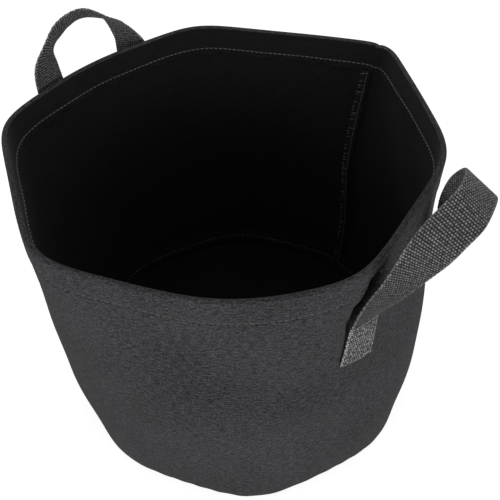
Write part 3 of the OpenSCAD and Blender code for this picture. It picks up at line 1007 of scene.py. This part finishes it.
def weave_strap(name, handle):
    """One handle: a closed sheet of webbing with both feet."""
    side = handle["side"]
    fine, run = strap_rows(handle)
    centre, width, pressed = fine[:, :3], fine[:, 3:6], np.clip(fine[:, 6:], 0, 1)
    along = unit(np.gradient(centre, axis=0))
    width = unit(width - (1 - pressed) * (width * along).sum(1, keepdims=True) * along)
    middle = centre[:, None] + width[:, None] * across_at[:, None]
    middle = middle * np.array([side, 1, 1]) + np.array([handle["fold_x"], 0, FOLD_HEIGHT])
    laid, _ = on_pressed(side, middle[..., 1], np.minimum(middle[..., 2], HEIGHT - 4), WEB_LIFT)
    middle = middle * (1 - pressed[..., None]) + laid * pressed[..., None]
    normal = unit(np.cross(np.gradient(middle, axis=0), np.gradient(middle, axis=1)))
    bumps = weave_bumps(across_at + half_width, run[:, None]) - 0.3
    thick = (edge_share * (WEB_THICK / 2 + RELIEF * bumps))[..., None]
    back = (middle - normal * thick)[:, ::-1][:, 1:-1]
    ring = np.concatenate([middle + normal * thick, back], axis=1)
    rows, columns = ring.shape[:2]
    faces, corner_rows, corner_columns = grid_faces(rows, columns, loop_columns=True)
    around = np.concatenate([across_at, across_at[::-1][1:]]) + half_width
    cloth = np.stack([around[corner_columns], run[corner_rows]], -1).reshape(-1, 2)
    caps, cap_cloth = [], []
    for row in (0, rows - 1):
        for j in range(len(across_at) - 1):
            corners = dict.fromkeys((j, j + 1, columns - j - 1, (columns - j) % columns))
            caps.append([row * columns + corner for corner in corners])
            cap_cloth += [(around[j], run[row])] * len(corners)
    strap = mesh_of(name, ring, faces.tolist() + caps, np.concatenate([cloth, cap_cloth]),
                    webbing, webbing_pressed)
    foot_count = FOOT_END / SPACING
    at_foot = (corner_rows[:, 0] < foot_count) | (corner_rows[:, 0] > rows - 1 - foot_count)
    material_of = at_foot.astype(int).tolist() + [1] * len(caps)
    strap.data.polygons.foreach_set("material_index", material_of)
    # Painted shade: the highlight is dimmed just above each foot and back to full 75 mm up the
    # loop.
    from_foot = np.minimum(run, run[-1] - run) - FOOT_END
    loop_painted_shade = LOW_PAINTED_SHADE + (1 - LOW_PAINTED_SHADE) * rise(15, 75, from_foot)
    polish_and_painted_shade = np.where(from_foot < 0, FOOT_PAINTED_SHADE, loop_painted_shade)
    mark_points(strap, "painted_shade_near_feet", np.repeat(polish_and_painted_shade, columns))
    face_outwards(strap)
    return strap, run[-1]


# %% Make both handles
near_strap, near_length = weave_strap("near_strap", NEAR)
far_strap, far_length = weave_strap("far_strap", FAR)
for strap, length, loop, handle in ((near_strap, near_length, "near_loop", "near"),
                                    (far_strap, far_length, "far_loop", "far")):
    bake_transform(strap)
    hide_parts(handle + "_handle", handle + "_left_foot", handle + "_right_foot")
    print(strap.name, "uses", round(length), "mm of webbing")

# %% [markdown]
# ## The stitches of the feet
# Each foot is held by a box of stitches with a cross in it, three millimetres in from the edges.
# The thread lies on the face of the webbing, so the line of stitches is drawn on the pressed wall,
# lifted by the thickness of the webbing.

# %% Sew the four feet
MARGIN = 3.0
FOOT_PITCH = 2.9
w, top, low = half_width - MARGIN, MARGIN, FOOT_LENGTH - MARGIN
box = [(-w, top), (w, top), (w, low), (-w, low)]
box_lines = [(box[k], box[(k + 1) % 4]) for k in range(4)] + [(box[0], box[2]), (box[1], box[3])]


def foot_line(handle, which, start, stop):
    """A line across a foot from one (across, down) to another, with its normals."""
    across, down = np.linspace(start, stop, 60).T
    y, z = foot_place(handle, which, across, down)
    return on_pressed(handle["side"], y, z, WEB_LIFT + WEB_THICK / 2 - 0.05)


for handle, name in ((NEAR, "near"), (FAR, "far")):
    for which, end in ((0, "left"), (1, "right")):
        stitch_rows = [sew(f"row_{k}", *foot_line(handle, which, *ends), FOOT_PITCH, cover=0.75,
                           height=0.3)[0] for k, ends in enumerate(box_lines)]
        foot_thread = join(stitch_rows, f"{name}_{end}_foot_stitches")
        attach(foot_thread, "bag")
        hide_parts(f"{name}_{end}_foot_stitching")
        print(foot_thread.name, len(foot_thread.data.vertices), "points")

# %% [markdown]
# ## The loops along the side seam
# The raw edges of the side seam are wrapped by overlock loops: a thread that runs over the edge of
# the flap again and again, with a locking line on its upper face. Loose and pale, it is the first
# thing seen inside the bag. Each loop reaches back from the edge by its own length, and some are
# worn away.

# %% Wrap the edge of the flap
LOOP_PITCH = 3.4
WORN_AWAY = 0.22


def on_flap(share, lift):
    """A line along the flap, at a share of its width and lifted off its root."""
    return flap_root + flap_out * (flap_width * share)[:, None] - flap_normal * lift


top_edge, inner = on_flap(0.98, 3.9), on_flap(0.35, 3.9)
run = run_of(top_edge)
count = int(run[-1] / LOOP_PITCH)
loops = []
for k in range(count):
    if rng.random() < WORN_AWAY:
        continue
    at = (k + 0.5) * LOOP_PITCH + rng.uniform(-1.2, 1.2)
    reach = rng.uniform(0.35, 1.0)
    slant = rng.uniform(-2.4, 0.8)
    end = point_at(at, run, top_edge)
    start = end + (point_at(at + slant, run, inner) - end) * reach
    normal = point_at(at, run, -flap_normal)
    share = np.linspace(0, 1, 9)[:, None]
    slack = rng.uniform(0.2, 1.6) * np.sin(np.pi * share)
    line = start + (end - start) * share + normal * slack
    loops.append(sew(f"loop_{k}", line, np.repeat(normal[None], 9, 0), 20.0, cover=0.96,
                     wide=rng.uniform(0.4, 0.9), material=thread_pale)[0])
loops.append(sew("locking_line", on_flap(0.33, 3.95), -flap_normal, LOOP_PITCH, cover=0.9,
                 wide=0.7)[0])
side_loops = join(loops, "side_seam_loops")
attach(side_loops, "bag")
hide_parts("side_seam_thread")
print(count, "overlock loops")

# %% [markdown]
# ## Floor, light and backdrop
# The bag stands on a plain pale floor. The floor takes the bag's shadow, and to the camera it
# glows a little as well, so that it meets the white behind it with no line. The world is white for
# the camera alone; for the cloth it is a low, soft light, so that the inside of the bag stays
# dark. Two large lamps stand to the front, left and right, and a weaker one behind lights the rim.

# %% Floor
HALF, LOW = 6.0, -0.0002
floor_mesh = bpy.data.meshes.new("floor")
floor_mesh.from_pydata([(-HALF, -HALF, LOW), (HALF, -HALF, LOW), (HALF, HALF, LOW),
                        (-HALF, HALF, LOW)], [], [(0, 1, 2, 3)])
floor = link(floor_mesh, "floor")
floor_paint = bpy.data.materials.new("floor")
floor_paint.use_nodes = True
tree = floor_paint.node_tree
tree.nodes.remove(tree.nodes["Principled BSDF"])
matt = add(tree, "BsdfDiffuse", Color=(0.85, 0.85, 0.85, 1))
to_camera = Wire(add(tree, "LightPath"), "Is Camera Ray")
glow = add(tree, "Emission", Strength=to_camera * 0.76)
both = add(tree, "AddShader")
for socket, shader in zip(both.inputs, (matt, glow)):
    plug(socket, Wire(shader))
set_up(tree.nodes["Material Output"], Surface=Wire(both))
floor_mesh.materials.append(floor_paint)
print("floor", 2 * HALF, "m wide")

# %% World and lamps
world = bpy.data.worlds.new("studio")
bpy.context.scene.world = world
world.use_nodes = True
tree = world.node_tree
soft = set_up(tree.nodes["Background"], Color=(1, 1, 1, 1), Strength=0.26)
white = add(tree, "Background", Color=(1, 1, 1, 1), Strength=1.0)
path = add(tree, "LightPath")
seen = Wire(path, "Is Camera Ray")
for ray in ("Is Glossy Ray", "Is Transmission Ray"):
    seen = calc("MAXIMUM", seen, Wire(path, ray))
choose = add(tree, "MixShader")
for socket, source in zip(choose.inputs, (seen, Wire(soft), Wire(white))):
    plug(socket, source)
set_up(tree.nodes["World Output"], Surface=Wire(choose))


def lamp(name, at, towards, wide, high, power):
    """A flat lamp of a given size (m) and power (W) that faces a point."""
    data = bpy.data.lights.new(name, "AREA")
    data.shape, data.size, data.size_y, data.energy = "RECTANGLE", wide, high, power
    piece = bpy.data.objects.new(name, data)
    piece.location = at
    piece.rotation_euler = (Vector(towards) - Vector(at)).to_track_quat("-Z", "Y").to_euler()
    bpy.context.scene.collection.objects.link(piece)


lamp("left", (0.22, -1.58, 0.55), (0, 0, 0.12), 1.6, 0.7, 6.5)
lamp("right", (1.56, -0.33, 0.55), (0, 0, 0.12), 1.6, 0.7, 6.5)
lamp("back", (-1.0, 1.1, 1.3), (0, 0, 0.15), 1.0, 1.0, 3)
bpy.context.scene.view_settings.view_transform = "Standard"
